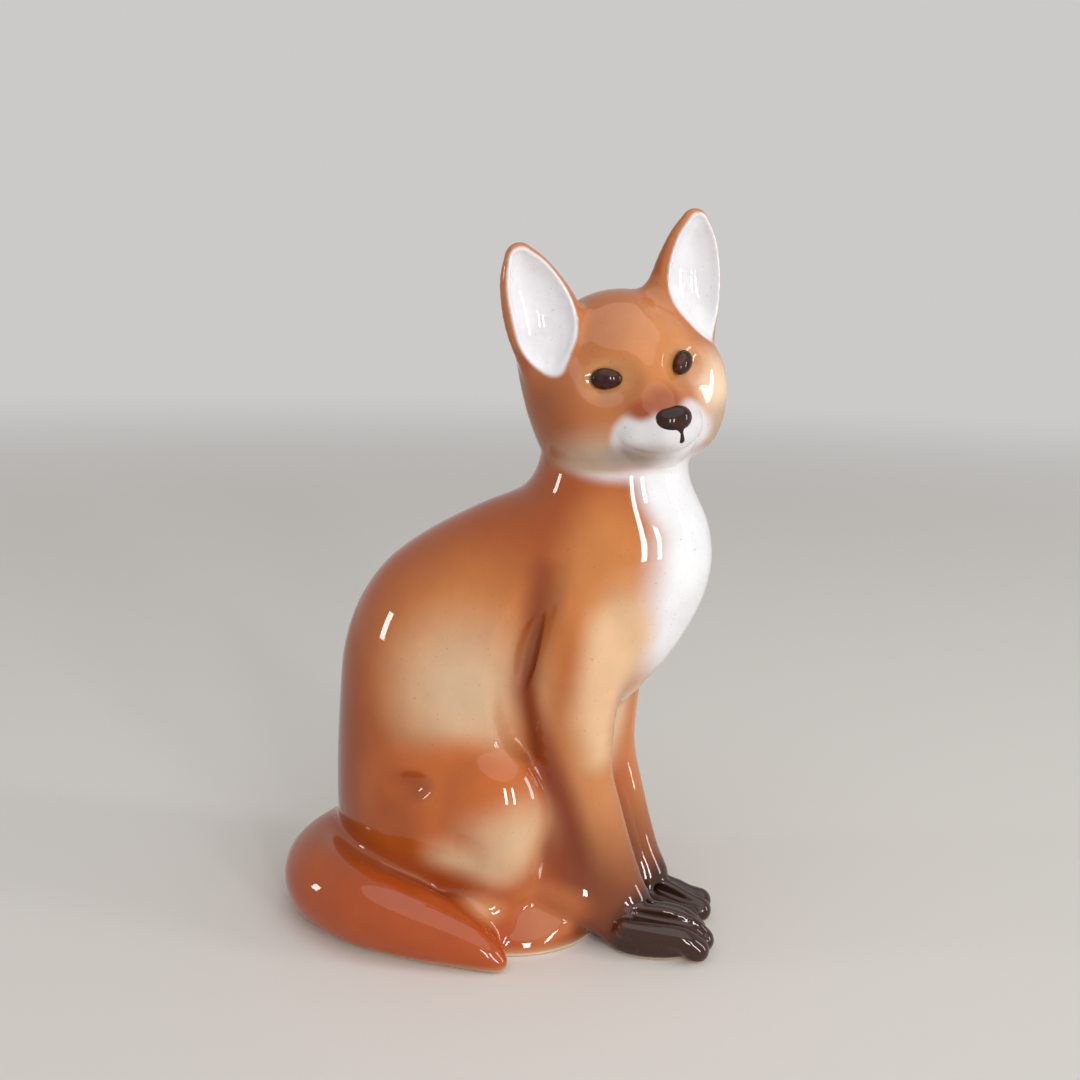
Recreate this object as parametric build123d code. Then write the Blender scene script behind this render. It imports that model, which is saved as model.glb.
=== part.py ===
from build123d import *
import os
from math import cos, pi, sin

# A sitting fox in glazed porcelain, about 155 mm tall.
# It is made the way such a figurine is made on the bench. A hollow torso and a hollow head are
# cast. Ears, legs, tail, eyes and nose are stuck on with slip, each one cut to the curve that it
# sits on. So every joint here is face to face, and the larger casting always keeps its shape.
# Frame: +Z up, the chest faces -Y, the fox's own right side is -X. The origin is on the resting
# face, under the middle of the body.

# What the hollow castings share
casting_wall = 3.0
overrun = 2.0
# Ovals are drawn in quarters, and a bun has this many steps from pole to pole
quarter_turn = 90
bun_steps = 8

# Torso: one casting from the resting face to the collar inside the head
body_height = 110.0
chest_reach = 52.0
rump_reach = 33.0
body_width = 47.0
drain_diameter = 5.0
drain_setback = 9.0
# Each row is one level: its height, then how far chest, rump and flanks go out there, and how far
# back it is widest, as shares of body_height, chest_reach, rump_reach, half of body_width and
# rump_reach again.
torso_shares = [
    (0.000, 0.54, 0.78, 0.78, 0.14),
    (0.036, 0.59, 0.84, 0.84, 0.14),
    (0.109, 0.59, 0.92, 0.94, 0.14),
    (0.182, 0.60, 0.95, 1.00, 0.13),
    (0.310, 0.60, 0.97, 1.00, 0.10),
    (0.420, 0.63, 0.96, 0.96, 0.06),
    (0.510, 0.74, 0.94, 0.91, 0.02),
    (0.582, 0.86, 0.88, 0.87, -0.11),
    (0.655, 0.94, 0.77, 0.83, -0.33),
    (0.718, 0.98, 0.60, 0.81, -0.62),
    (0.773, 1.00, 0.36, 0.79, -0.78),
    (0.810, 0.99, 0.16, 0.77, -0.84),
    (0.845, 0.97, -0.07, 0.73, -0.87),
    (0.890, 0.94, -0.28, 0.68, -0.89),
    (0.945, 0.90, -0.42, 0.62, -0.91),
    (1.000, 0.86, -0.61, 0.56, -0.92),
]

# Head: a hollow casting set down over the neck, turned to the fox's right and tilted
head_length = 38.6
head_width = 39.0
crown_rise = 20.6
jaw_drop = 16.0
skull_back = 20.1
head_turn = 48.0
head_tilt = 12.0
head_sideways = -0.8
head_forward = 33.9
head_above_collar = 7.0
head_level = body_height + head_above_collar
# Each row is one slice from the back of the skull to the muzzle: how far along it lies, then half
# width, crown and jaw, as shares of head_length, half of head_width, crown_rise and jaw_drop.
head_shares = [
    (0.028, 0.33, 0.43, 0.17),
    (0.080, 0.56, 0.63, 0.42),
    (0.158, 0.76, 0.81, 0.67),
    (0.262, 0.90, 0.93, 0.83),
    (0.391, 0.98, 0.99, 0.95),
    (0.520, 1.00, 0.96, 1.00),
    (0.625, 0.96, 0.88, 0.98),
    (0.700, 0.86, 0.78, 0.94),
    (0.760, 0.73, 0.68, 0.90),
    (0.812, 0.56, 0.52, 0.86),
    (0.860, 0.41, 0.32, 0.80),
    (0.912, 0.30, 0.12, 0.72),
    (0.962, 0.21, -0.05, 0.60),
    (0.988, 0.12, -0.13, 0.48),
]
skull_pole_share = 0.16
muzzle_pole_share = 0.30

# Ears, placed in the head's own frame
ear_rise = 35.0
ear_out = 21.0
ear_half_width = 8.6
ear_half_depth = 5.2
# Each row is one slice across the ear: rise, how far out and how far forward its middle lies,
# then half width and half depth, as shares of ear_rise, ear_out, ear_half_depth (for the forward
# place), ear_half_width and ear_half_depth.
ear_shares = [
    (0.23, 0.62, -0.36, 0.94, 0.98),
    (0.52, 0.76, -0.06, 1.00, 1.00),
    (0.75, 0.89, 0.14, 0.76, 0.76),
    (0.90, 0.96, 0.27, 0.44, 0.46),
    (0.98, 0.98, 0.35, 0.19, 0.22),
]
ear_tip_shares = (1.00, 0.99, 0.38)
# The hollow of the ear, in the same shares
hollow_shares = [
    (0.28, 0.80, 1.35, 0.30, 0.40),
    (0.41, 0.80, 1.05, 0.64, 0.90),
    (0.58, 0.81, 0.80, 0.74, 1.00),
    (0.76, 0.88, 0.72, 0.54, 0.76),
    (0.88, 0.94, 0.68, 0.30, 0.44),
]
hollow_foot_shares = (0.24, 0.80, 1.45)
hollow_tip_shares = (0.96, 0.98, 0.66)

# Eyes and nose: small raised buttons of clay, half sunk in the head
eye_length = 6.0
eye_thickness = 3.8
eye_slant = 22.0
eye_along_share = 0.80
eye_out_share = 0.45
eye_rise_share = 0.30
nose_length = 6.8
nose_thickness = 4.2
nose_along_share = 0.972
nose_drop_share = 0.18

# Forelegs
leg_height = 90.0
leg_spread = 10.8
leg_reach = 39.0
leg_half_width = 9.4
leg_half_depth = 11.8
# Each row is one level: height, how far out and how far forward its middle lies, then half width
# and half depth, as shares of the five sizes above.
leg_shares = [
    (0.000, 0.69, 1.00, 0.53, 0.51),
    (0.055, 0.70, 0.99, 0.57, 0.55),
    (0.155, 0.75, 0.90, 0.60, 0.58),
    (0.300, 0.81, 0.78, 0.64, 0.62),
    (0.422, 0.89, 0.69, 0.73, 0.69),
    (0.555, 0.97, 0.66, 0.88, 0.82),
    (0.667, 1.00, 0.67, 0.97, 0.95),
    (0.778, 0.97, 0.69, 1.00, 1.00),
    (0.889, 0.86, 0.71, 0.99, 0.93),
    (0.960, 0.72, 0.72, 0.80, 0.76),
]
shoulder_top_shares = (1.00, 0.58, 0.72)

# Paws and their toes
paw_length = 21.6
paw_half_width = 6.8
paw_half_height = 6.4
paw_level = 2.6
paw_ahead = 7.8
toe_count = 3
toe_pitch = 4.4
toe_length = 16.0
toe_thickness = 5.0
toe_level = 4.9
toe_slope = 17.0
right_paw_turn = 17.0
right_paw_out = 9.2
left_paw_turn = -4.0
left_paw_out = 6.9
left_paw_setback = 1.6

# Hind legs, folded under: thigh, shank and foot, each sunk this far inside the widest flank
thigh_length = 29.0
thigh_thickness = 23.0
thigh_sunk = 8.6
thigh_out = body_width / 2 - thigh_sunk
thigh_forward = 9.2
thigh_level = 30.5
thigh_lean = 12.0
shank_width = 14.0
shank_depth = 20.0
shank_sunk = 8.9
shank_out = body_width / 2 - shank_sunk
shank_forward = 12.5
foot_length = 29.0
foot_thickness = 16.4
foot_sunk = 9.0
foot_out = body_width / 2 - foot_sunk
foot_behind_paw = 20.5
foot_forward = leg_reach - foot_behind_paw
foot_level = 3.0
foot_turn = 25.0

# Tail, round the back and along the fox's right side
tail_out = 30.0
tail_back = 31.2
tail_level = 8.7
tail_radius = 8.9
# Each row is one place along the tail: sideways, back and up, then the radius there, as shares of
# the four sizes above.
tail_shares = [
    (0.47, 0.77, 0.92, 0.62),
    (0.20, 0.955, 0.97, 0.88),
    (-0.17, 1.00, 1.00, 0.97),
    (-0.50, 0.97, 1.00, 0.99),
    (-0.77, 0.785, 0.99, 1.00),
    (-0.93, 0.45, 0.92, 0.955),
    (-0.975, 0.10, 0.80, 0.855),
    (-0.98, -0.22, 0.62, 0.675),
    (-1.00, -0.46, 0.35, 0.40),
]
tail_tip_shares = (-1.01, -0.58, 0.20)


def oval(half_x, back, front=None):
    """A flat oval, drawn as four quarters so that no surface made from it closes on itself.
    A front value makes its front half longer or shorter than its back half."""
    front = back if front is None else front
    quarters = [
        EllipticalCenterArc((0, 0), half_x, half_y, quarter_turn * step, arc_size=quarter_turn)
        for step, half_y in enumerate([back, back, front, front])
    ]
    return make_face(quarters)


def level_oval(level, middle_x, middle_y, half_x, back, front=None):
    """The same oval at one level."""
    return Plane((middle_x, middle_y, level)) * oval(half_x, back, front)


def bun(length, width, height):
    """A round bun lying along Y: its rings lie at even steps of angle from pole to pole."""
    rings = []
    for step in range(1, bun_steps):
        angle = pi * step / bun_steps
        place = Plane((0, -cos(angle) * length / 2, 0), x_dir=(1, 0, 0), z_dir=(0, 1, 0))
        rings.append(place * oval(sin(angle) * width / 2, sin(angle) * height / 2))
    return loft([Vertex(0, -length / 2, 0)] + rings + [Vertex(0, length / 2, 0)])


def between(rows, place):
    """The shares at one place of a table, on straight lines between its rows."""
    place = min(max(place, rows[0][0]), rows[-1][0])
    for low, high in zip(rows, rows[1:]):
        if place <= high[0]:
            blend = (place - low[0]) / (high[0] - low[0])
            return [a + (b - a) * blend for a, b in zip(low[1:], high[1:])]


def torso_oval(level, inset=0):
    """The torso's oval at a level, or the cavity's, which lies one wall inside on every side."""
    near = [level - inset, level, level + inset]
    found = [between(torso_shares, height / body_height) for height in near]
    chest, rump, flank = [min(values) for values in list(zip(*found))[:3]]
    widest = found[1][3] * rump_reach
    chest = chest * chest_reach - inset
    rump = rump * rump_reach - inset
    flank = flank * body_width / 2 - inset
    return level_oval(level, 0, widest, flank, rump - widest, chest + widest)


def torso_outside():
    return loft([torso_oval(row[0] * body_height) for row in torso_shares])


def torso_cavity():
    """The hollow, from the floor up and out through the neck."""
    levels = [row[0] * body_height for row in torso_shares[2:]]
    ovals = [torso_oval(level, casting_wall) for level in [casting_wall] + levels]
    mouth = torso_oval(body_height, casting_wall).moved(Pos(0, 0, overrun))
    return loft(ovals + [mouth])


def drain_hole():
    """The hole in the floor that lets slip out of the mould and air out of the kiln."""
    tool = Cylinder(drain_diameter / 2, casting_wall + 2 * overrun)
    return Pos(0, drain_setback, casting_wall / 2) * tool


def head_slice(along, width, crown, jaw, inset=0):
    """One upright oval across the head, in the head's own frame."""
    top = crown * crown_rise - inset
    bottom = -jaw * jaw_drop + inset
    half_width = width * head_width / 2 - inset
    place = Plane((0, skull_back - along * head_length, (top + bottom) / 2), x_dir=(1, 0, 0), z_dir=(0, -1, 0))
    return place * oval(half_width, (top - bottom) / 2)


def head_pose():
    return Pos(head_sideways, -head_forward, head_level) * Rot(0, 0, -head_turn) * Rot(0, -head_tilt, 0)


def head_outside():
    back = Vertex(0, skull_back, skull_pole_share * crown_rise)
    muzzle = Vertex(0, skull_back - head_length, -muzzle_pole_share * jaw_drop)
    slices = [head_slice(*row) for row in head_shares]
    return head_pose() * loft([back] + slices + [muzzle])


def head_cavity():
    slices = [head_slice(*row, inset=casting_wall) for row in head_shares[1:-4]]
    return head_pose() * loft(slices)


def ear_oval(side, rise, out, forward, half_width, half_depth):
    middle = (side * out * ear_out, -forward * ear_half_depth)
    return level_oval(rise * ear_rise, *middle, half_width * ear_half_width, half_depth * ear_half_depth)


def ear_point(side, rise, out, forward):
    return Vertex(side * out * ear_out, -forward * ear_half_depth, rise * ear_rise)


def ear(side):
    """One cupped ear. side is -1 for the fox's right and 1 for its left."""
    outside = loft([ear_oval(side, *row) for row in ear_shares] + [ear_point(side, *ear_tip_shares)])
    foot = ear_point(side, *hollow_foot_shares)
    tip = ear_point(side, *hollow_tip_shares)
    hollow = loft([foot] + [ear_oval(side, *row) for row in hollow_shares] + [tip])
    return head_pose() * (outside - hollow)


def eye(side):
    out = side * eye_out_share * head_width / 2
    along = skull_back - eye_along_share * head_length
    place = Pos(out, along, eye_rise_share * crown_rise)
    button = Rot(0, 0, quarter_turn + side * eye_slant) * bun(eye_length, eye_thickness, eye_thickness)
    return head_pose() * place * button


def nose():
    place = Pos(0, skull_back - nose_along_share * head_length, -nose_drop_share * jaw_drop)
    return head_pose() * place * Rot(0, 0, quarter_turn) * bun(nose_length, nose_thickness, nose_thickness)


def paw(side, turn, out, setback):
    """One forefoot with its toes, pointing forward from the foot of the leg."""
    heel = leg_reach + paw_ahead - setback
    pad = Pos(0, 0, paw_level) * bun(paw_length, 2 * paw_half_width, 2 * paw_half_height)
    toe = Rot(toe_slope, 0, 0) * bun(toe_length, toe_thickness, toe_thickness)
    ahead = (paw_length - toe_length) / 2
    for index in range(toe_count):
        across = (index - (toe_count - 1) / 2) * toe_pitch
        pad += Pos(across, -ahead, toe_level) * toe
    return Pos(side * out, -heel, 0) * Rot(0, 0, -side * turn) * pad


def foreleg(side, turn, out, setback):
    """Shoulder, leg and paw in one piece."""
    ovals = []
    for rise, spread, reach, width, depth in leg_shares:
        middle = (side * spread * leg_spread, -reach * leg_reach)
        size = (width * leg_half_width, depth * leg_half_depth)
        ovals.append(level_oval(rise * leg_height, *middle, *size))
    rise, spread, reach = shoulder_top_shares
    top = Vertex(side * spread * leg_spread, -reach * leg_reach, rise * leg_height)
    return loft(ovals + [top]) + paw(side, turn, out, setback)


def hind_leg(side):
    """Thigh, shank and foot in one piece."""
    thigh = Rot(-thigh_lean, 0, 0) * Rot(quarter_turn, 0, 0) * bun(thigh_length, thigh_thickness, thigh_thickness)
    thigh = Pos(side * thigh_out, -thigh_forward, thigh_level) * thigh
    shank = extrude(oval(shank_width / 2, shank_depth / 2), thigh_level)
    shank = Pos(side * shank_out, -shank_forward, 0) * shank
    foot = Rot(0, 0, -side * foot_turn) * bun(foot_length, foot_thickness, foot_thickness)
    foot = Pos(side * foot_out, -foot_forward, foot_level) * foot
    return thigh + shank + foot


def tail_place(row):
    return Vector(row[0] * tail_out, row[1] * tail_back, row[2] * tail_level)


def tail():
    """A tube of changing thickness, each ring square to the way the tail runs."""
    places = [tail_place(row) for row in tail_shares]
    tip = tail_place(tail_tip_shares)
    rings = []
    for index, place in enumerate(places):
        before = places[max(index - 1, 0)]
        after = (places + [tip])[index + 1]
        way = after - before
        across = (-way.Y, way.X, 0)
        radius = tail_shares[index][3] * tail_radius
        rings.append(Plane(place, x_dir=across, z_dir=way) * oval(radius, radius))
    return loft(rings + [Vertex(*tip)])


def ground():
    """The table under the figurine, which trims everything flat."""
    reach = 2 * (chest_reach + rump_reach)
    return Pos(0, 0, -reach / 2) * Box(reach, reach, reach)


def one_piece(shape):
    """The largest solid of a trimmed piece, without the crumbs that trimming leaves."""
    return max(shape.solids(), key=lambda solid: solid.volume)


def figurine():
    """Every piece by name, each trimmed by the ones that it is stuck on."""
    body = torso_outside()
    skull = head_outside()
    table = ground()
    right_leg = foreleg(-1, right_paw_turn, right_paw_out, 0)
    left_leg = foreleg(1, left_paw_turn, left_paw_out, left_paw_setback)
    right_haunch = hind_leg(-1)
    left_haunch = hind_leg(1)
    pieces = {
        "torso": body - [torso_cavity(), drain_hole()],
        "head": skull - [head_cavity(), body],
        "right_foreleg": right_leg - [table, body],
        "left_foreleg": left_leg - [table, body, right_leg],
        "right_hind_leg": right_haunch - [table, body, right_leg],
        "left_hind_leg": left_haunch - [table, body, left_leg],
        "tail": tail() - [table, body, right_haunch],
        "right_ear": ear(-1) - skull,
        "left_ear": ear(1) - skull,
        "right_eye": eye(-1) - skull,
        "left_eye": eye(1) - skull,
        "nose": nose() - skull,
    }
    return {name: one_piece(shape) for name, shape in pieces.items()}


os.makedirs("parts", exist_ok=True)
for name, solid in figurine().items():
    solid.label = name
    export_step(solid, "parts/" + name + ".step")
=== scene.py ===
import bpy
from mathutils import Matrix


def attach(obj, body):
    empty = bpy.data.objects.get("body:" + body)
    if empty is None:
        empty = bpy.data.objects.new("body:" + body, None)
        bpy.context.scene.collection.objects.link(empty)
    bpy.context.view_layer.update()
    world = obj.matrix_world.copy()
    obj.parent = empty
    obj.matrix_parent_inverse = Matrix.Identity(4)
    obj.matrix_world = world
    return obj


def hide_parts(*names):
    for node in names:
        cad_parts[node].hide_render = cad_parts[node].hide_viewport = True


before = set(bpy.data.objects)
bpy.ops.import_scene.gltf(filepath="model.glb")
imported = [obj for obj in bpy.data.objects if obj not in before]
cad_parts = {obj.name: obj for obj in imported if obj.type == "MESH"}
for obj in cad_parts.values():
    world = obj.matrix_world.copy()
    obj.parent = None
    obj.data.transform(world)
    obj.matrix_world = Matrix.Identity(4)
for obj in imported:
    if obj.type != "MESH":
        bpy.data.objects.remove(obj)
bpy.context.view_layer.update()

from concurrent.futures import ThreadPoolExecutor
import numpy as np
import openvdb
from mathutils import Matrix, Vector

# A sitting fox in glazed porcelain. Sizes of the clay are in millimetres, in the part's own frame:
# +Z up, the chest faces -Y, the fox's right side is -X. The file follows the bench: the castings are
# shaped and stuck together, each is sprayed with colour, and one firing makes the glazed skins.

# TORSO
# A hollow slip-cast porcelain casting, from the foot ring up to the collar that the head sits on.
# It is shaped here as soft lumps of clay that melt into one another. Its colour is sprayed on
# under the glaze: deep orange along the back, cream on the flank and a white bib.


def melt(a, b, soft):
    """The smaller of two distances, rounded where they are nearly equal:
    mix(b, a, h) - soft * h * (1 - h), with h = clamp(1/2 + (b - a) / (2 soft))."""
    h = np.clip(0.5 + 0.5 * (b - a) / soft, 0, 1)
    return b + (a - b) * h - soft * h * (1 - h)


def turned(axis, degrees):
    """Rotation matrix about one axis."""
    return np.array(Matrix.Rotation(np.radians(degrees), 3, axis))


class Pat:
    """An egg-shaped pat of clay. Its distance is |q/r| (|q/r| - 1) / |q/r^2| in its own axes.
    A flat (normal, offset) cuts it off by a plane, with a rounded edge."""

    def __init__(self, centre, radii, turn=np.eye(3), flat=None):
        self.centre = np.array(centre, float)
        self.radii = np.array(radii, float)
        self.turn = turn
        self.flat = flat

    def placed(self, turn, shift=(0, 0, 0)):
        """The same pat after a turn (or mirroring) and a shift."""
        flat = None
        if self.flat:
            normal = turn @ np.array(self.flat[0])
            flat = (normal, self.flat[1] + normal @ np.array(shift))
        return Pat(turn @ self.centre + shift, self.radii, turn @ self.turn, flat)

    def box(self):
        """The lowest and highest corner of the box round the pat."""
        reach = np.sqrt(((self.turn * self.radii) ** 2).sum(1))
        return self.centre - reach, self.centre + reach

    def distance(self, places):
        q = (places - self.centre) @ self.turn
        near = np.sqrt(((q / self.radii) ** 2).sum(-1))
        steep = np.sqrt(((q / self.radii ** 2) ** 2).sum(-1)) + 1e-9
        away = near * (near - 1) / steep
        if self.flat:
            away = -melt(-away, self.flat[1] - places @ self.flat[0], 1.0)
        return away


class Roll:
    """A tapering roll of clay. Rows (x, y, z, radius) are joined by a smooth curve through them,
    and the distance is that to the nearest point of the curve less the radius there, in a space
    shrunk by the three stretches, which makes the roll's section oval."""

    def __init__(self, rows, steps=3, stretch=(1, 1, 1)):
        knots = np.array(rows, float)
        knots = np.vstack([2 * knots[0] - knots[1], knots, 2 * knots[-1] - knots[-2]])
        t = np.linspace(0, 1, steps, endpoint=False)[:, None]
        spans = []
        for a, b, c, d in zip(knots, knots[1:], knots[2:], knots[3:]):
            bend = (2 * a - 5 * b + 4 * c - d) * t ** 2 + (3 * b - a - 3 * c + d) * t ** 3
            spans.append(0.5 * (2 * b + (c - a) * t + bend))
        line = np.vstack(spans + [knots[-2:-1]])
        self.points = line[:, :3]
        self.radii = line[:, 3]
        self.stretch = np.array(stretch, float)
        self.turn = np.eye(3)

    def placed(self, turn, shift=(0, 0, 0)):
        """The same roll after a turn (or mirroring) and a shift."""
        other = Roll.__new__(Roll)
        other.points = self.points @ turn.T + shift
        other.radii = self.radii
        other.stretch = self.stretch
        other.turn = turn @ self.turn
        return other

    def box(self):
        """The lowest and highest corner of a box that holds the roll."""
        reach = self.radii.max() * self.stretch.max()
        return self.points.min(0) - reach, self.points.max(0) + reach

    def distance(self, places):
        shrink = self.turn / self.stretch
        x = places @ shrink
        p = self.points @ shrink
        best = None
        for a, b, wide, narrow in zip(p[:-1], p[1:], self.radii[:-1], self.radii[1:]):
            run = b - a
            along = np.clip(((x - a) @ run) / (run @ run), 0, 1)
            gap = x - a - along[..., None] * run
            away = np.sqrt((gap ** 2).sum(-1)) - (wide + (narrow - wide) * along)
            best = away if best is None else np.minimum(best, away)
        return best


as_right = np.eye(3)
mirror = np.diag([-1.0, 1.0, 1.0])
batches = []
sprays = []
# Each casting's grain, the grid step of its skin in mm, and its material slot
castings = {}


def join(casting, lumps, soft):
    """Model lumps (lump, soft) into one batch of clay, then join it on, smoothed over `soft`."""
    batches.append((casting, lumps, soft))


def scrape(lump, soft):
    """Scrape the lump's shape out of the model so far."""
    batches.append((None, [(lump, 0.1)], soft))


def tint(red, green, blue):
    """A colour written as a screen shows it, from 0 to 255, made linear."""
    c = np.array([red, green, blue]) / 255
    return np.where(c > 0.04045, ((c + 0.055) / 1.055) ** 2.4, c / 12.92)


def fade(value, full, gone):
    """1 up to `full`, 0 from `gone` on, smooth between: t * t * (3 - 2 t)."""
    t = np.clip((value - gone) / (full - gone), 0, 1)
    return t * t * (3 - 2 * t)


def spray(colour, mask):
    """One pass of the airbrush: mask(places) gives how strongly the colour covers each place."""
    sprays.append((np.array(colour), mask))


def to_right(places):
    """Fold the fox's left side onto its right."""
    folded = places.copy()
    folded[:, 0] = -abs(folded[:, 0])
    return folded


def cloud(centre, radii, full, gone, sides="both"):
    """An egg-shaped cloud of spray: full inside `full` of its radii, gone outside `gone`."""
    def mask(p):
        q = to_right(p) if sides == "both" else p
        away = np.sqrt((((q - np.array(centre)) / np.array(radii)) ** 2).sum(-1))
        return fade(away, full, gone)
    return mask


def line_of_spray(rows, full, gone, sides="both"):
    """Spray drawn along a curve, by fade((distance + width) / width), where the distance is that
    to the roll through the rows and the width is the mean of its radii."""
    path = Roll(rows, 4)
    width = path.radii.mean()

    def mask(p):
        q = to_right(p) if sides == "both" else p
        return fade((path.distance(q) + width) / width, full, gone)
    return mask


base = Pat((0, 4.5, 22), (23.5, 27.5, 34))
back = Pat((0, 1, 49.7), (22.0, 30.6, 37.5))
shoulders = Pat((0, -18, 72), (18.5, 27, 25))
chest = Pat((0, -31, 84), (16.5, 20.8, 22))
neck = Roll([(0, -27.8, 84, 16.9), (0, -31, 108, 15.2)], 1, (0.92, 1, 1))
belly = Pat((0, -13, 28), (14, 19, 36))
foot_web = Roll([(-9.5, -18, 12, 8.0), (-9.5, -28, 10, 7.0), (-8.0, -36, 6, 6.0)])
leg_web = Roll([(-9.5, -20, 50, 4.5), (-9.2, -23, 38, 5.2), (-8.6, -25, 24, 6.0), (-8.4, -27, 12, 6.2)])
trunk = [(base, 1), (back, 10), (shoulders, 10), (chest, 7), (neck, 3.6), (belly, 6)]
for web, soft in ((foot_web, 5), (leg_web, 4)):
    trunk += [(web.placed(side), soft) for side in (as_right, mirror)]
join("torso", trunk, 1)
castings["torso"] = (0.61, "body_glaze")

burnt_orange = tint(172, 82, 26)
deep_orange = tint(148, 62, 16)
tan_orange = tint(206, 128, 66)
flank_cream = tint(219, 183, 147)
bib_white = tint(234, 234, 236)
spray(burnt_orange, lambda p: np.ones(len(p)))
spray(tan_orange, cloud((-20, -6, 62), (20, 27, 27), 0.35, 1.2))
spray(flank_cream, cloud((-21, -5, 56), (13, 21, 21), 0.1, 1.15))
spray(deep_orange, cloud((0, 32, 36), (32, 20, 32), 0.4, 1.2))
spray(tan_orange, cloud((-16, -34, 82), (12, 12, 20), 0.4, 1.2))
spray(flank_cream, cloud((-13, -39, 66), (13, 10, 17), 0.2, 1.25))
spray(bib_white, cloud((0, -50, 79), (15.5, 14, 27), 0.72, 1.3))
spray(bib_white, cloud((-3, -46, 102), (12.4, 11, 13), 0.8, 1.25, sides="one"))
spray(bib_white, cloud((-11, -34, 105), (10, 12, 5), 0.4, 1.15, sides="one"))
spray(flank_cream, cloud((0, -34, 50), (7, 9, 16), 0.6, 1.3))

# FORELEGS
# Solid legs, each with its paw and three long toes, stuck to the chest with slip. A hollow
# is smoothed behind each shoulder, with darker orange painted along it and down the crease
# behind the leg as shade. The orange spray turns to dark brown down the paws.

foreleg = Roll([
    (-9.5, -25, 78, 10.5), (-11, -26, 64, 10.6), (-10.5, -25.8, 51, 9.4), (-9.6, -27, 38, 7.8),
    (-8.8, -30.5, 27, 6.9), (-8.1, -35, 14, 6.4), (-7.8, -38, 8, 6.2),
], 4, (0.86, 1, 1))
shoulder_hollow = Roll([
    (-20.5, -26, 89, 1.2), (-20.6, -22.0, 79, 3.6), (-21.2, -18.0, 68, 4.6), (-21.0, -15.9, 58, 4.6),
    (-18.8, -16.0, 50, 3.8), (-17.0, -17.0, 43, 2.4),
])
shoulder_scoop = Roll([
    (-17.4, -21.2, 75, 0.4), (-17.3, -19.2, 70, 1.9), (-17.2, -17.4, 63, 2.4), (-17.3, -15.8, 54, 1.0),
])
for name, side in (("right_foreleg", as_right), ("left_foreleg", mirror)):
    join(name, [(foreleg.placed(side), 1)], 3.0)
for hollow, soft in ((shoulder_hollow, 2.6), (shoulder_scoop, 0.5)):
    for side in (as_right, mirror):
        scrape(hollow.placed(side), soft)

# A paw's place on the table, its turn in degrees, its half length and the height of its instep
paws = {
    "right_foreleg": ((-9.4, -46.3, 0), 17, 10.8, 9.5),
    "left_foreleg": ((6.9, -43.9, 0), -4, 9.9, 7.5),
}
paw_half_width = 6.5
pad_back = 0.6
sole = 3.2
toe_places = (-4.8, -0.5, 3.8)
toe_gaps = (-2.7, 1.6)


def toe(across, length, instep):
    """A toe from the ankle over the knuckle to its tip. It spreads out to `across` at the tip, and
    the further out it lies, the lower and shorter it is."""
    tip = length - 1.5 - abs(across) * 0.35
    return Roll([
        (across * 0.72, 7.5, instep - 1.4 - 0.4 * abs(across), 2.1),
        (across * 0.95, 0, instep - 1.9 - 0.09 * across ** 2, 2.5),
        (across, 3 - tip, instep - 4.0 - 0.03 * across ** 2, 2.6),
        (across, -tip, 2.6, 2.75),
    ])


def toe_gap(across, length, instep):
    """The groove between two toes, a thin roll laid half sunk along them."""
    crown = instep - 1.3 - 0.1 * across ** 2
    return Roll([
        (across * 0.75, 5.0, crown + 1.5, 0.7),
        (across * 0.95, 0, crown + 0.9, 1.0),
        (across, 4.2 - length, instep - 2.1, 1.0),
        (across, 1.2 - length, 5.2, 0.8),
    ])


for name, (place, degrees, length, instep) in paws.items():
    turn = turned("Z", degrees)
    pad = Pat((0, pad_back, sole), (paw_half_width, length, instep - sole - 1.0))
    join(name, [(pad.placed(turn, place), 1)], 3.0)
    join(name, [(toe(across, length, instep).placed(turn, place), 0.5) for across in toe_places], 0.9)
    for across in toe_gaps:
        scrape(toe_gap(across, length, instep).placed(turn, place), 1.0)
    castings[name] = (0.45, "leg_glaze")

crease_shade_orange = tint(140, 58, 18)
leg_cream = tint(226, 184, 142)
leg_tan = tint(200, 130, 78)
leg_brown = tint(120, 54, 22)
paw_brown = tint(54, 26, 16)
spray(leg_tan, line_of_spray([(-15, -32, 50, 8), (-13, -34, 30, 8), (-9, -40, 12, 8)], 0.5, 1.5))
spray(leg_cream, line_of_spray([(-15, -37, 70, 7), (-15.5, -33, 56, 6), (-14, -33, 44, 4)], 0.2, 1.5))
# Painted shade: darker orange along the crease behind each shoulder and down between leg and flank.
spray(crease_shade_orange, line_of_spray([
    (-18.5, -21, 82, 3.2), (-16.6, -19.0, 68, 3.6), (-16.2, -18.0, 57, 4.2), (-16.0, -20.8, 46, 4.4),
    (-15.0, -25.5, 32.5, 4.4), (-13.5, -28.5, 18, 4.8), (-12, -30, 8, 5)], 0.1, 1.4))


def down_the_legs(p):
    """Brown that thickens down the forelegs, from a height of 38 to 10, and not behind them."""
    return fade(p[:, 2], 10, 38) * fade(p[:, 1], -30, -20) * 0.9


def over_the_paws(p):
    """Dark brown in front of a slanting line across the ankles, and low down."""
    return fade(p[:, 1] + 0.5 * p[:, 2], -40, -30) * fade(p[:, 2], 9, 18)


spray(leg_brown, down_the_legs)
spray(paw_brown, over_the_paws)

# HIND LEGS
# Each folded hind leg is one solid: a rounded knee on the flank, and below it a low wedge of a
# foot that points forward. A shallow dimple is pressed behind the knee. The knee's top is
# orange and its lower front fades to cream.

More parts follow.
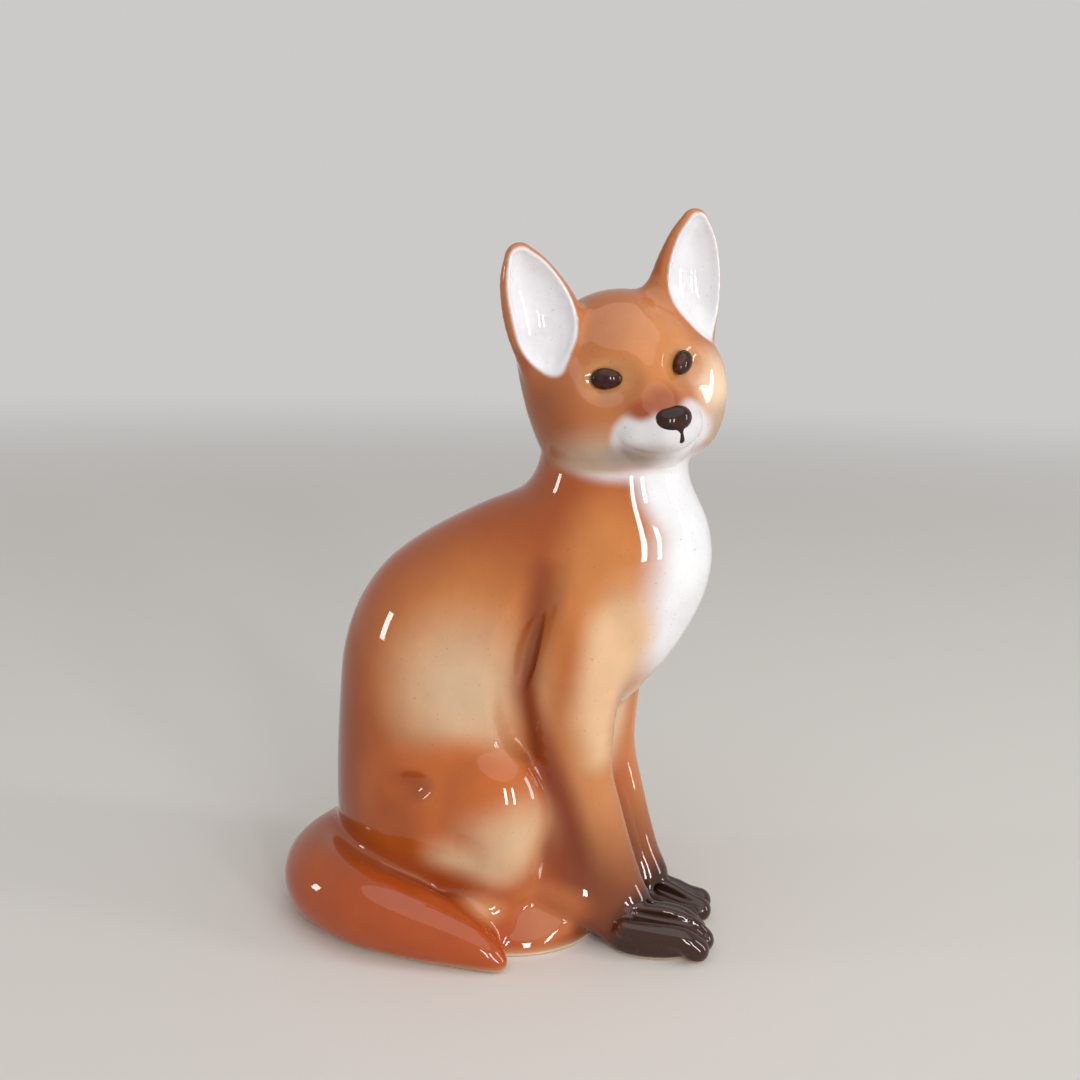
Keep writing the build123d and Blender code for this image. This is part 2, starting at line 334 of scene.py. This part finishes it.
knee = Pat((-15.2, -9.8, 30.8), (11.0, 12.8, 14.6), turned("X", -15))
thigh = Pat((-12.5, -3.0, 27), (11.5, 14.0, 15.0))
shin = Pat((-14.5, -11.0, 15), (8.8, 10.0, 13))
foot_slope = (np.array([-0.700, -0.370, 0.611]), 25.4)
hind_foot = Pat((-12.4, -17.6, 0), (10.8, 15.2, 27), turned("Z", 40), foot_slope)
instep_fill = Pat((-19.5, -8.5, 6), (6.5, 8, 6.5))
dimple = Pat((-25.4, 6.4, 34.4), (3.6, 6.4, 3.4), turned("X", -18))
for name, side in (("right_hind_leg", as_right), ("left_hind_leg", mirror)):
    join(name, [(thigh.placed(side), 1)], 5.0)
    join(name, [(knee.placed(side), 1), (shin.placed(side), 4)], 1.6)
    join(name, [(hind_foot.placed(side), 1)], 1.0)
    join(name, [(instep_fill.placed(side), 1)], 3.0)
    scrape(dimple.placed(side), 1.6)
    castings[name] = (0.55, "body_glaze")

knee_orange = tint(194, 100, 40)
knee_cream = tint(224, 190, 150)
foot_orange = tint(184, 102, 54)
spray(knee_orange, cloud((-23, -1, 32), (10, 22, 13.6), 0.5, 1.2))
# Painted shade: darker orange inside the dimple behind the knee.
spray(crease_shade_orange, cloud((-24, 6.2, 34.5), (4, 5.5, 3.6), 0.2, 1.3))
spray(knee_cream, cloud((-20, -15, 26), (9, 11, 11), 0.2, 1.3))
spray(knee_cream, cloud((-24, -7, 18), (10, 13, 8), 0.0, 1.2))
spray(knee_orange, cloud((-25, -8, 39), (8, 12, 7.6), 0.2, 1.4))
spray(burnt_orange, cloud((-23.5, 10, 25), (8, 8.5, 15), 0.4, 1.25))
spray(foot_orange, cloud((-17, -22, 8), (12, 13, 7.5), 0.6, 1.15))
# Painted shade: darker orange in the crease between the foreleg and the hind foot.
spray(crease_shade_orange, cloud((-11.5, -23.0, 17), (4.6, 5.0, 14), 0.5, 1.2))
spray(leg_brown, cloud((-10.5, -33, 6), (6, 6.5, 10), 0.5, 1.3))
spray(paw_brown, cloud((-10, -47, 4), (11, 11, 9), 0.7, 1.2))

# TAIL
# A thick solid roll with a pointed tip, laid round the back and along the fox's right side.
# It is stuck to the rump and the flank, and stands on the table with the rest.

tail = Roll([
    (14, 24, 8, 5.5), (6, 29.8, 8.4, 7.8), (-5, 31.2, 8.7, 8.6), (-15, 30.2, 8.7, 8.8),
    (-23, 24.5, 8.6, 8.9), (-28, 14, 8.0, 8.5), (-29.3, 3, 7.0, 7.6), (-29.5, -6.5, 5.5, 6.1),
    (-30.0, -13.4, 3.7, 4.0), (-30.4, -17.0, 2.2, 2.3),
], 9)
join("tail", [(tail, 1)], 3.4)
castings["tail"] = (0.6, "body_glaze")

tail_orange = tint(172, 74, 24)
tail_crease_shade = tint(162, 78, 34)
hem_cream = tint(218, 172, 124)
seam_tan = tint(208, 146, 98)
spray(tail_orange, cloud((-28, 8, 7), (13, 34, 12), 0.7, 1.2, sides="one"))
spray(tail_orange, cloud((-10, 34, 7), (26, 12, 12), 0.7, 1.2, sides="one"))
# Painted shade: a darker orange line along the crease where the tail meets the body.
spray(tail_crease_shade, line_of_spray([
    (-10, 27, 17, 3), (-20, 20, 16.5, 3), (-23.5, 8, 14.5, 3), (-23.5, -4, 11, 2.4)],
    0.2, 1.4, sides="one"))
spray(seam_tan, cloud((-23.5, -10.5, 9.5), (5, 7, 4), 0.0, 1.2, sides="one"))


def along_the_hem(p):
    """A thin cream edge round the foot of the figurine, behind the forelegs."""
    return fade(p[:, 2], 0.6, 2.8) * fade(-p[:, 1], 27, 33) * 0.5


spray(hem_cream, along_the_hem)

# HEAD
# A hollow casting set down over the neck, turned to the fox's right and tilted. Muzzle and
# cheeks are soft swellings, and the mouth is one faint line. Its orange is sprayed over the brow
# and down the nose, round a white muzzle and chin.

head_place = np.array([-0.9, -33.8, 117.0])
head_turn = turned("Z", -48) @ turned("Y", -12)
face_turn = head_turn @ turned("Z", -4.5)


def on_head(lump):
    """A lump written in the skull's own frame, moved to where the head is."""
    return lump.placed(head_turn, head_place)


def on_face(lump):
    """A lump written in the face's frame, which is turned a little further than the skull."""
    return lump.placed(face_turn, head_place)


lumps = [(on_head(Pat((0, 4.2, 3.4), (19.0, 15.8, 18.5))), 1.5)]
for side in (-1, 1):
    ruff = Roll([(side * 15.5, 4.0, 14, 6.4), (side * 15.0, 5.0, 2, 5.4), (side * 12.8, 4.0, -8, 5.2)], 2)
    lumps.append((on_head(ruff), 5))
lumps += [
    (on_face(Pat((9.0, 0, -4.2), (10.0, 11.5, 11.0))), 5),
    (on_face(Pat((-9.0, 0, -4.6), (10.0, 11.5, 11.4))), 5),
    (on_face(Pat((13.6, -1.5, 1.5), (6.2, 7.5, 8.5))), 4),
    (on_face(Pat((-13.6, -1.5, 1.5), (6.0, 7.5, 8.5))), 4),
    (on_face(Roll([(0, -2, -6.0, 11.3), (0, -9, -6.6, 8.6), (0, -13.2, -6.0, 5.6)], 3, (1, 1, 0.85))), 3.0),
    (on_face(Roll([(0, -6, 8.5, 5.5), (0, -11.0, -0.5, 4.8), (0, -14.6, -3.2, 3.8)], 3, (1.3, 1, 1))), 5),
    (on_face(Pat((-3.9, -12.8, -5.4), (4.6, 4.2, 3.4))), 2.0),
    (on_face(Pat((3.9, -12.8, -5.4), (4.6, 4.2, 3.4))), 2.0),
    (on_face(Pat((0, -12.6, -8.6), (5.2, 4.0, 3.0))), 2.0),
]
join("head", lumps, 1.2)
mouth = Roll([
    (-8.0, -12.9, -6.0, 0.3), (-6.2, -15.1, -7.9, 0.15), (-3.6, -16.8, -9.0, 0.1), (0, -17.5, -9.4, 0.1),
    (3.6, -16.8, -9.0, 0.1), (6.2, -15.1, -7.9, 0.15), (8.0, -12.9, -6.0, 0.3),
])
scrape(on_face(mouth), 1.0)
castings["head"] = (0.45, "body_glaze")

# EARS
# Two cupped ears, pressed thin and stuck on the skull, with their hollows facing the way the
# fox looks. They are orange outside, and white inside up to a thin rim.

# An ear's side, how far it stands inward of the other's mirror image, and how softly it joins on
ears = {"right_ear": (-1, 0.0, 2.5), "left_ear": (1, 0.7, 4.0)}
ear_hollows = []
for name, (side, inward, soft) in ears.items():
    ear = Roll([
        (side * 13.4 - inward, 1.8, 9, 7.6), (side * 16.2 - inward, 0.3, 18, 8.2),
        (side * 18.6 - inward, -0.8, 26.0, 6.2), (side * 20.0 - inward, -1.5, 31.6, 3.2),
    ], 5, (1, 0.6, 1))
    hollow = Roll([
        (side * 19.2 - inward, -5.2, 11.8, 3.4), (side * 18.6 - inward, -4.6, 15.6, 5.1),
        (side * 17.7 - inward, -4.3, 20.0, 6.2), (side * 18.9 - inward, -3.8, 26.0, 4.9),
        (side * 20.3 - inward, -3.5, 31.2, 2.2),
    ], 5, (1, 0.9, 1))
    join(name, [(on_head(ear), 1)], soft)
    hollow = on_head(hollow)
    scrape(hollow, 0.8)
    ear_hollows.append(hollow)
    castings[name] = (0.34, "white_glaze")

# EYE SOCKETS
# Shallow dishes pressed into the head's clay, with a soft rim, so that the eyes sit a little
# sunk. An eye's slant turns it round the head, and its lift raises the outer corner, in degrees.

eye_places = {"right_eye": np.array([-8.7, -10.1, 6.4]), "left_eye": np.array([7.6, -10.5, 6.2])}
eye_slants = {"right_eye": 22, "left_eye": 40}
eye_lifts = {"right_eye": 10, "left_eye": 22}
for name, place in eye_places.items():
    side = np.sign(place[0])
    socket = Pat((place[0], place[1] - 2.4, place[2]), (5.6, 3.0, 4.2), turned("Z", side * eye_slants[name]))
    scrape(on_face(socket), 2.0)

# SPRAY ON HEAD AND EARS
# The orange brow, cheeks and bridge, the rings round the eyes, the white muzzle and the pale jaw
# are airbrushed in the face's own frame. Darker temples and grey under the jaw are painted shade,
# and a paler far cheek is painted light. The hollows of the ears are white up to their rims.

cheek_orange = tint(184, 110, 60)
brow_orange = tint(204, 130, 74)
temple_shade_orange = tint(160, 86, 42)
eye_ring = tint(206, 142, 90)
bridge_orange = tint(160, 76, 30)
muzzle_white = tint(224, 221, 222)
jaw_cream_and_shade = tint(186, 156, 130)
jaw_shade = tint(160, 144, 134)
far_cheek_lit_cream = tint(236, 204, 174)
ear_white = tint(228, 226, 229)
rim_orange = tint(192, 116, 64)

# Heights where spray sets in and where it is gone, going down: at the neck's seam, on the ears' rims
neck_seam = (103.5, 101.5)
rim_above = (128, 124)


def face_cloud(centre, radii, full, gone, sides="both"):
    """A cloud of spray in the face's own frame, which ends at the seam with the neck."""
    puff = cloud(centre, radii, full, gone, sides)

    def mask(p):
        return puff((p - head_place) @ face_turn) * fade(p[:, 2], *neck_seam)
    return mask


spray(cheek_orange, face_cloud((0, 0, 4), (24, 24, 22), 0.9, 1.0))
# Painted shade: darker orange on both temples.
spray(temple_shade_orange, face_cloud((-18, -2, 0), (9, 10, 12), 0.3, 1.3))
spray(brow_orange, face_cloud((3.5, -9, 10), (10.5, 12, 10), 0.4, 1.3, sides="one"))
# Painted light: paler cream on the far cheek only, the side the light falls on.
spray(far_cheek_lit_cream, face_cloud((14, -6, -1), (7, 10, 9), 0.4, 1.3, sides="one"))
# A pale cream jaw, greyed and darkened low down as painted shade.
spray(jaw_cream_and_shade, face_cloud((-12.5, -8, -9), (11, 10, 7), 0.2, 1.3))
spray(eye_ring, face_cloud((-8.5, -10, 6.4), (5.8, 6, 4.4), 0.4, 1.25))
spray(bridge_orange, face_cloud((0, -15, 0.2), (4.6, 7, 4.0), 0.3, 1.3))
spray(muzzle_white, face_cloud((-4.6, -14, -5.8), (6.0, 9, 5.6), 0.8, 1.15))
spray(muzzle_white, face_cloud((0, -16, -7.5), (6, 7, 4.4), 0.8, 1.15))
spray(muzzle_white, face_cloud((8, -12, -8), (5, 7, 5), 0.4, 1.2, sides="one"))
spray(bridge_orange, face_cloud((-4.4, -14.5, -0.4), (3.2, 5, 2.4), 0.4, 1.2, sides="one"))
# Painted shade: grey under the chin on the near side, between the muzzle and the throat.
spray(jaw_shade, face_cloud((-6.5, -13, -9.2), (10, 9, 3.4), 0.2, 1.3, sides="one"))
spray(bib_white, face_cloud((1, -8, -15.0), (14, 13, 4.2), 0.3, 1.2, sides="one"))


def from_hollow(p):
    """Distance to the nearer of the two ears' hollows."""
    return np.minimum(ear_hollows[0].distance(p), ear_hollows[1].distance(p))


def ear_inside(p):
    """White where the surface is the scraped hollow of an ear."""
    return fade(from_hollow(p), 0.3, 1.0)


def ear_rim(p):
    """A paler band round each hollow, on the part of the ear that stands clear of the skull."""
    return fade(from_hollow(p), 1.4, 2.6) * fade(p[:, 2], *rim_above)


spray(rim_orange, ear_rim)
spray(ear_white, ear_inside)

# GLAZE FIRING
# All castings are now joined. Each one's skin is the smooth surface of the whole model, cut where
# its own clay gives way to its neighbour's, so no seam shows under the glaze. The bottom stays
# unglazed and flat.

seam_lap = 1.0
seam_dip = 0.1
far = 12.0
foot_rounding = 1.0
melt_room = 3.5
skin_room = 4
below_table = 2.5


def knead(batches, low, high, grain, own=None):
    """The model on a grid of cells: its distance field, how much nearer each place is to the
    casting's own clay than to the rest, (own - other) / 2, and the heights of the grid's layers."""
    counts = np.ceil((high - low) / grain).astype(int) + 1
    axes = [low[i] + grain * np.arange(counts[i]) for i in range(3)]
    field = np.full(counts, far)
    own_away = np.full(counts, far)
    other_away = np.full(counts, far)
    for name, lumps, joint in batches:
        batch = np.full(counts, far)
        touched = False
        for lump, soft in lumps:
            corner, opposite = lump.box()
            pad = max(soft, joint) + melt_room
            first = np.clip(np.floor((corner - pad - low) / grain).astype(int), 0, counts)
            last = np.clip(np.ceil((opposite + pad - low) / grain).astype(int) + 1, 0, counts)
            if (last <= first).any():
                continue
            part = tuple(slice(a, b) for a, b in zip(first, last))
            places = np.stack(np.meshgrid(*[axes[i][part[i]] for i in range(3)], indexing="ij"), -1)
            batch[part] = melt(batch[part], lump.distance(places), soft)
            touched = True
        if not touched:
            continue
        if name is None:
            field = -melt(-field, batch, joint)
            continue
        field = melt(field, batch, joint)
        kept = own_away if name == own else other_away
        np.minimum(kept, batch, out=kept)
    return field, (own_away - other_away) / 2, axes[2]


def at_places(grid, cells):
    """Vectors of a grid at places given in cells, straight-line mix of the eight corners."""
    base = np.clip(np.floor(cells).astype(int), 0, np.array(grid.shape[:3]) - 2)
    part = cells - base
    total = 0
    for corner in np.ndindex(2, 2, 2):
        weight = np.prod(np.where(corner, part, 1 - part), axis=1)
        index = base + np.array(corner)
        total = total + grid[index[:, 0], index[:, 1], index[:, 2]] * weight[:, None]
    return total


def surface(field, low, grain, shaped=None):
    """The closed skin where a field is zero: places, quads, and the slope of `field` there."""
    volume = openvdb.FloatGrid(far)
    volume.copyFromArray(np.ascontiguousarray(field if shaped is None else shaped, dtype=np.float32))
    cells, quads = volume.convertToQuads(0.0)[:2]
    cells = np.array(cells, float)
    slope = np.stack(np.gradient(field), -1)
    normals = at_places(slope, cells)
    normals /= np.linalg.norm(normals, axis=1, keepdims=True) + 1e-9
    return cells * grain + low, np.array(quads), normals


def casting_skin(name, grain):
    """One casting's skin, lapped a little under its neighbours' at the seams."""
    boxes = [lump.box() for owner, lumps, joint in batches for lump, soft in lumps if owner == name]
    low = np.min([b[0] for b in boxes], axis=0) - skin_room
    high = np.max([b[1] for b in boxes], axis=0) + skin_room
    low[2] = max(low[2], -below_table)
    field, claim, heights = knead(batches, low, high, grain, name)
    field = -melt(-field, heights + 0 * field, foot_rounding)
    lapped = np.maximum(field + seam_dip * np.clip(claim, 0, seam_lap), claim - seam_lap)
    return surface(field, low, grain, lapped)


def sprayed(places):
    """Colour of each place: every pass of spray laid over the ones before."""
    colour = np.zeros((len(places), 3))
    for paint, mask in sprays:
        cover = mask(places)[:, None]
        colour = colour * (1 - cover) + paint * cover
    return colour


def new_mesh(name, places, quads):
    """A mesh from whole arrays, in metres."""
    mesh = bpy.data.meshes.new(name)
    mesh.vertices.add(len(places))
    mesh.vertices.foreach_set("co", (places / 1000).astype(np.float32).ravel())
    mesh.loops.add(quads.size)
    mesh.loops.foreach_set("vertex_index", quads.astype(np.int32).ravel())
    mesh.polygons.add(len(quads))
    mesh.polygons.foreach_set("loop_start", np.arange(0, quads.size, quads.shape[1], dtype=np.int32))
    mesh.polygons.foreach_set("use_smooth", np.ones(len(quads), bool))
    mesh.update(calc_edges=True)
    return mesh


def new_piece(name, mesh):
    """An object at the origin that shows a mesh."""
    piece = bpy.data.objects.new(name, mesh)
    bpy.context.scene.collection.objects.link(piece)
    return piece


def new_skin(name, places, quads, normals):
    """A piece whose shading follows the exact slope of the clay."""
    mesh = new_mesh(name, places, quads)
    mesh.normals_split_custom_set_from_vertices(normals.tolist())
    return new_piece(name, mesh)


def glaze_group():
    """Effects of fired glaze: sparse specks, a mottle of the spray and a slow ripple."""
    group = bpy.data.node_groups.new("fired_glaze", "ShaderNodeTree")
    for label, kind, into in (
        ("Speck size", "NodeSocketFloat", "INPUT"), ("Ripple size", "NodeSocketFloat", "INPUT"),
        ("Specks", "NodeSocketFloat", "OUTPUT"), ("Mottle", "NodeSocketFloat", "OUTPUT"),
        ("Ripple", "NodeSocketFloat", "OUTPUT"),
    ):
        group.interface.new_socket(label, in_out=into, socket_type=kind)
    nodes, links = group.nodes, group.links
    sizes = nodes.new("NodeGroupInput")
    results = nodes.new("NodeGroupOutput")
    where = nodes.new("ShaderNodeTexCoord")
    specks = nodes.new("ShaderNodeTexNoise")
    specks.inputs["Detail"].default_value = 2.0
    links.new(where.outputs["Object"], specks.inputs["Vector"])
    links.new(sizes.outputs["Speck size"], specks.inputs["Scale"])
    sparse = nodes.new("ShaderNodeMapRange")
    sparse.inputs["From Min"].default_value = 0.66
    sparse.inputs["From Max"].default_value = 0.76
    links.new(specks.outputs["Fac"], sparse.inputs["Value"])
    links.new(sparse.outputs["Result"], results.inputs["Specks"])
    mottle = nodes.new("ShaderNodeTexNoise")
    mottle.inputs["Scale"].default_value = 140.0
    mottle.inputs["Detail"].default_value = 3.0
    links.new(where.outputs["Object"], mottle.inputs["Vector"])
    links.new(mottle.outputs["Fac"], results.inputs["Mottle"])
    ripple = nodes.new("ShaderNodeTexNoise")
    ripple.inputs["Detail"].default_value = 1.0
    links.new(where.outputs["Object"], ripple.inputs["Vector"])
    links.new(sizes.outputs["Ripple size"], ripple.inputs["Scale"])
    links.new(ripple.outputs["Fac"], results.inputs["Ripple"])
    return group


fired_glaze = glaze_group()


def under_glaze(name, coat_ior, speck_size, ripple_size, relief, depth):
    """A new material of matt clay under a glossy clear coat that ripples, with its effects node."""
    material = bpy.data.materials.new(name)
    material.use_nodes = True
    nodes, links = material.node_tree.nodes, material.node_tree.links
    shader = nodes["Principled BSDF"]
    shader.inputs["Roughness"].default_value = 0.4
    shader.inputs["Specular IOR Level"].default_value = 0.0
    shader.inputs["Coat Weight"].default_value = 1.0
    shader.inputs["Coat Roughness"].default_value = 0.03
    shader.inputs["Coat IOR"].default_value = coat_ior
    effects = nodes.new("ShaderNodeGroup")
    effects.node_tree = fired_glaze
    effects.inputs["Speck size"].default_value = speck_size
    effects.inputs["Ripple size"].default_value = ripple_size
    bump = nodes.new("ShaderNodeBump")
    bump.inputs["Strength"].default_value = relief
    bump.inputs["Distance"].default_value = depth
    links.new(effects.outputs["Ripple"], bump.inputs["Height"])
    links.new(bump.outputs["Normal"], shader.inputs["Normal"])
    return material, effects


def glazed_porcelain():
    """Sprayed colour under a thick clear glaze, and bare biscuit where the attribute says so."""
    material, effects = under_glaze("sprayed_porcelain", 1.52, 1600.0, 90.0, 0.25, 0.0004)
    nodes, links = material.node_tree.nodes, material.node_tree.links
    shader = nodes["Principled BSDF"]
    colour = nodes.new("ShaderNodeAttribute")
    colour.attribute_name = "sprayed_colour"
    uneven = nodes.new("ShaderNodeMapRange")
    uneven.inputs["To Min"].default_value = 0.88
    uneven.inputs["To Max"].default_value = 1.12
    links.new(effects.outputs["Mottle"], uneven.inputs["Value"])
    shade = nodes.new("ShaderNodeMix")
    shade.data_type = "RGBA"
    shade.blend_type = "MULTIPLY"
    shade.inputs["Factor"].default_value = 1.0
    links.new(colour.outputs["Color"], shade.inputs["A"])
    links.new(uneven.outputs["Result"], shade.inputs["B"])
    dotted = nodes.new("ShaderNodeMix")
    dotted.data_type = "RGBA"
    dotted.inputs["B"].default_value = (*tint(120, 70, 45), 1)
    faint = nodes.new("ShaderNodeMath")
    faint.operation = "MULTIPLY"
    faint.inputs[1].default_value = 0.3
    links.new(effects.outputs["Specks"], faint.inputs[0])
    links.new(faint.outputs["Value"], dotted.inputs["Factor"])
    links.new(shade.outputs["Result"], dotted.inputs["A"])
    links.new(dotted.outputs["Result"], shader.inputs["Base Color"])
    glazed = nodes.new("ShaderNodeAttribute")
    glazed.attribute_name = "glazed"
    links.new(glazed.outputs["Fac"], shader.inputs["Coat Weight"])
    return material


porcelain = glazed_porcelain()
biscuit = tint(226, 208, 188)
bare_foot = (0.5, 1.2)
coarse = 1.0
with ThreadPoolExecutor(4) as bench:
    fired = list(bench.map(lambda name: casting_skin(name, castings[name][0] * coarse), castings))
for name, (places, quads, normals) in zip(castings, fired):
    skin = new_skin(name + "_skin", places, quads, normals)
    mesh = skin.data
    bare = fade(places[:, 2], *bare_foot)[:, None]
    colour = sprayed(places) * (1 - bare) + biscuit * bare
    layer = mesh.attributes.new("sprayed_colour", "FLOAT_COLOR", "POINT")
    layer.data.foreach_set("color", np.hstack([colour, np.ones((len(places), 1))]).astype(np.float32).ravel())
    glazed = mesh.attributes.new("glazed", "FLOAT", "POINT")
    glazed.data.foreach_set("value", (1 - bare[:, 0]).astype(np.float32))
    mesh.materials.append(porcelain)
    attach(skin, "root")
    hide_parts(name)

# EYES AND NOSE
# Raised buttons of clay, painted with thick dark brown glaze that stays very glossy. The
# nose glaze has run down in one small drip.

button_grain = 0.12
button_room = 1


def small_skin(name, lumps):
    """A small closed piece modelled in the face's frame from its own lumps of clay."""
    placed = [(on_face(lump), soft) for lump, soft in lumps]
    boxes = [lump.box() for lump, soft in placed]
    low = np.min([b[0] for b in boxes], axis=0) - button_room
    high = np.max([b[1] for b in boxes], axis=0) + button_room
    field = knead([(name, placed, 0.1)], low, high, button_grain)[0]
    return new_skin(name, *surface(field, low, button_grain))


def dark_glaze(name, dark, lit, ripple_size):
    """Thick dark glaze: nearly black, with warmer brown where it lies thin."""
    material, effects = under_glaze(name, 1.38, 900.0, ripple_size, 0.2, 0.0003)
    nodes, links = material.node_tree.nodes, material.node_tree.links
    thin = nodes.new("ShaderNodeMapRange")
    thin.inputs["From Min"].default_value = 0.35
    thin.inputs["From Max"].default_value = 0.75
    links.new(effects.outputs["Ripple"], thin.inputs["Value"])
    mix = nodes.new("ShaderNodeMix")
    mix.data_type = "RGBA"
    mix.inputs["A"].default_value = (*dark, 1)
    mix.inputs["B"].default_value = (*lit, 1)
    links.new(thin.outputs["Result"], mix.inputs["Factor"])
    links.new(mix.outputs["Result"], nodes["Principled BSDF"].inputs["Base Color"])
    return material


eye_glaze = dark_glaze("eye_glaze", tint(26, 10, 8), tint(80, 36, 24), 420.0)
nose_glaze = dark_glaze("nose_glaze", tint(30, 14, 12), tint(56, 30, 24), 260.0)
for name, place in eye_places.items():
    side = np.sign(place[0])
    slant = turned("Z", side * eye_slants[name]) @ turned("Y", -side * eye_lifts[name])
    along = slant @ np.array([-side * 1.0, 0, 0])
    eye = small_skin(name + "_button", [
        (Pat(place - along * 0.7, (2.4, 1.7, 2.1), slant), 0.1),
        (Pat(place + along * 1.0, (2.1, 1.4, 1.65), slant), 1.2),
    ])
    eye.data.materials.append(eye_glaze)
    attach(eye, "root")
    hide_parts(name)
nose_place = np.array([0.6, -17.9, -3.0])
drip = Roll([(*(nose_place + (0.5, -1.0, -1.6)), 0.8), (*(nose_place + (0.7, -0.8, -4.0)), 0.7)], 2)
nose = small_skin("nose_button", [
    (Pat(nose_place + (0, 0, -0.2), (3.5, 2.2, 2.5)), 0.1),
    (Pat(nose_place + (-1.5, 0.4, 0.4), (2.4, 1.9, 2.0)), 1.2),
    (Pat(nose_place + (1.5, 0.4, 0.4), (2.4, 1.9, 2.0)), 1.2),
    (drip, 0.6),
])
nose.data.materials.append(nose_glaze)
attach(nose, "root")
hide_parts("nose")

# TABLE AND LIGHT
# A plain pale table under one broad soft ceiling lamp. Four tall panes stand round it like
# windows, and their reflections give the glaze its highlights. The backdrop is one even tone.

table_half = 4.0
backdrop_colour = (1.0, 0.985, 0.965)
backdrop_strength = 0.6


def seen_share(nodes, links):
    """1 for the rays that show a thing, straight or by reflection or through it, 0 for the rest:
    the greatest of Is Camera Ray, Is Glossy Ray and Is Transmission Ray."""
    ray = nodes.new("ShaderNodeLightPath")
    share = ray.outputs["Is Camera Ray"]
    for label in ("Is Glossy Ray", "Is Transmission Ray"):
        most = nodes.new("ShaderNodeMath")
        most.operation = "MAXIMUM"
        links.new(share, most.inputs[0])
        links.new(ray.outputs[label], most.inputs[1])
        share = most.outputs["Value"]
    return share


def pale_table():
    """The table's own matt colour, which turns into the even backdrop glow further off."""
    material = bpy.data.materials.new("pale_table")
    material.use_nodes = True
    nodes, links = material.node_tree.nodes, material.node_tree.links
    shader = nodes["Principled BSDF"]
    shader.inputs["Base Color"].default_value = (*tint(232, 228, 223), 1)
    shader.inputs["Roughness"].default_value = 0.8
    shader.inputs["Specular IOR Level"].default_value = 0.0
    where = nodes.new("ShaderNodeTexCoord")
    away = nodes.new("ShaderNodeVectorMath")
    away.operation = "LENGTH"
    links.new(where.outputs["Object"], away.inputs[0])
    far_off = nodes.new("ShaderNodeMapRange")
    far_off.interpolation_type = "SMOOTHSTEP"
    far_off.inputs["From Min"].default_value = 0.2
    far_off.inputs["From Max"].default_value = 1.5
    links.new(away.outputs["Value"], far_off.inputs["Value"])
    share = nodes.new("ShaderNodeMath")
    share.operation = "MULTIPLY"
    links.new(far_off.outputs["Result"], share.inputs[0])
    links.new(seen_share(nodes, links), share.inputs[1])
    glow = nodes.new("ShaderNodeEmission")
    glow.inputs["Color"].default_value = (*backdrop_colour, 1)
    glow.inputs["Strength"].default_value = backdrop_strength
    mix = nodes.new("ShaderNodeMixShader")
    links.new(share.outputs["Value"], mix.inputs["Fac"])
    links.new(shader.outputs["BSDF"], mix.inputs[1])
    links.new(glow.outputs["Emission"], mix.inputs[2])
    links.new(mix.outputs["Shader"], nodes["Material Output"].inputs["Surface"])
    return material


floor_mesh = bpy.data.meshes.new("table_top")
corners = [(x * table_half, y * table_half, 0) for x, y in ((-1, -1), (1, -1), (1, 1), (-1, 1))]
floor_mesh.from_pydata(corners, [], [(0, 1, 2, 3)])
floor = new_piece("table_top", floor_mesh)
floor_mesh.materials.append(pale_table())


def lamp(name, place, size, power, shape="RECTANGLE"):
    """A white lamp of a size in metres and a power in watts, aimed at the figurine's middle."""
    light = bpy.data.lights.new(name, "AREA")
    light.shape = shape
    light.size, light.size_y = size
    light.energy = power
    holder = bpy.data.objects.new(name, light)
    bpy.context.scene.collection.objects.link(holder)
    holder.location = place
    holder.rotation_mode = "QUATERNION"
    holder.rotation_quaternion = (Vector(place) - Vector(middle)).to_track_quat("Z", "Y")


middle = (0, -0.01, 0.08)
lamp("front_pane_left", (-0.80, -0.62, 0.23), (0.08, 0.40), 2.2)
lamp("front_pane_right", (-0.62, -0.82, 0.23), (0.08, 0.40), 2.2)
lamp("chest_pane", (0.10, -1.0, 0.28), (0.14, 0.5), 2.2)
lamp("back_pane", (-0.42, 0.98, 0.26), (0.10, 0.22), 1.0)
lamp("ceiling", (-0.35, -0.30, 1.2), (1.9, 1.9), 8.0, "ELLIPSE")

world = bpy.data.worlds.new("room")
bpy.context.scene.world = world
world.use_nodes = True
nodes, links = world.node_tree.nodes, world.node_tree.links
nodes["Background"].inputs["Color"].default_value = (*backdrop_colour, 1)
strength = nodes.new("ShaderNodeMapRange")
strength.inputs["To Min"].default_value = 0.3
strength.inputs["To Max"].default_value = backdrop_strength
links.new(seen_share(nodes, links), strength.inputs["Value"])
links.new(strength.outputs["Result"], nodes["Background"].inputs["Strength"])

# CAMERA
# Held a little above the figurine's middle on its right side, looking slightly down, with the
# slight roll of a hand-held shot.

frame_pixels = 1080
focal_pixels = 1242
camera_place = (-0.251, -0.096, 0.137)
camera_down = np.radians(11.14)
camera_roll = np.arctan2(150, 6310)
camera_round = np.radians(18)
data = bpy.data.cameras.new("camera")
camera = bpy.data.objects.new("camera", data)
bpy.context.scene.collection.objects.link(camera)
bpy.context.scene.camera = camera
data.sensor_width = 36
data.lens = focal_pixels / frame_pixels * data.sensor_width
data.clip_start = 0.01
level = np.array([1.0, 0.0, 0.0])
ahead = np.array([0.0, np.cos(camera_down), -np.sin(camera_down)])
above = np.array([0.0, np.sin(camera_down), np.cos(camera_down)])
sideways = np.cos(camera_roll) * level + np.sin(camera_roll) * above
upward = -np.sin(camera_roll) * level + np.cos(camera_roll) * above
about = np.array([
    [np.sin(camera_round), np.cos(camera_round), 0],
    [-np.cos(camera_round), np.sin(camera_round), 0],
    [0, 0, 1],
])
pose = np.eye(4)
pose[:3, :3] = np.stack([about @ sideways, about @ upward, -about @ ahead], 1)
pose[:3, 3] = camera_place
camera.matrix_world = Matrix(pose.tolist())

bpy.context.scene.view_settings.view_transform = "Standard"
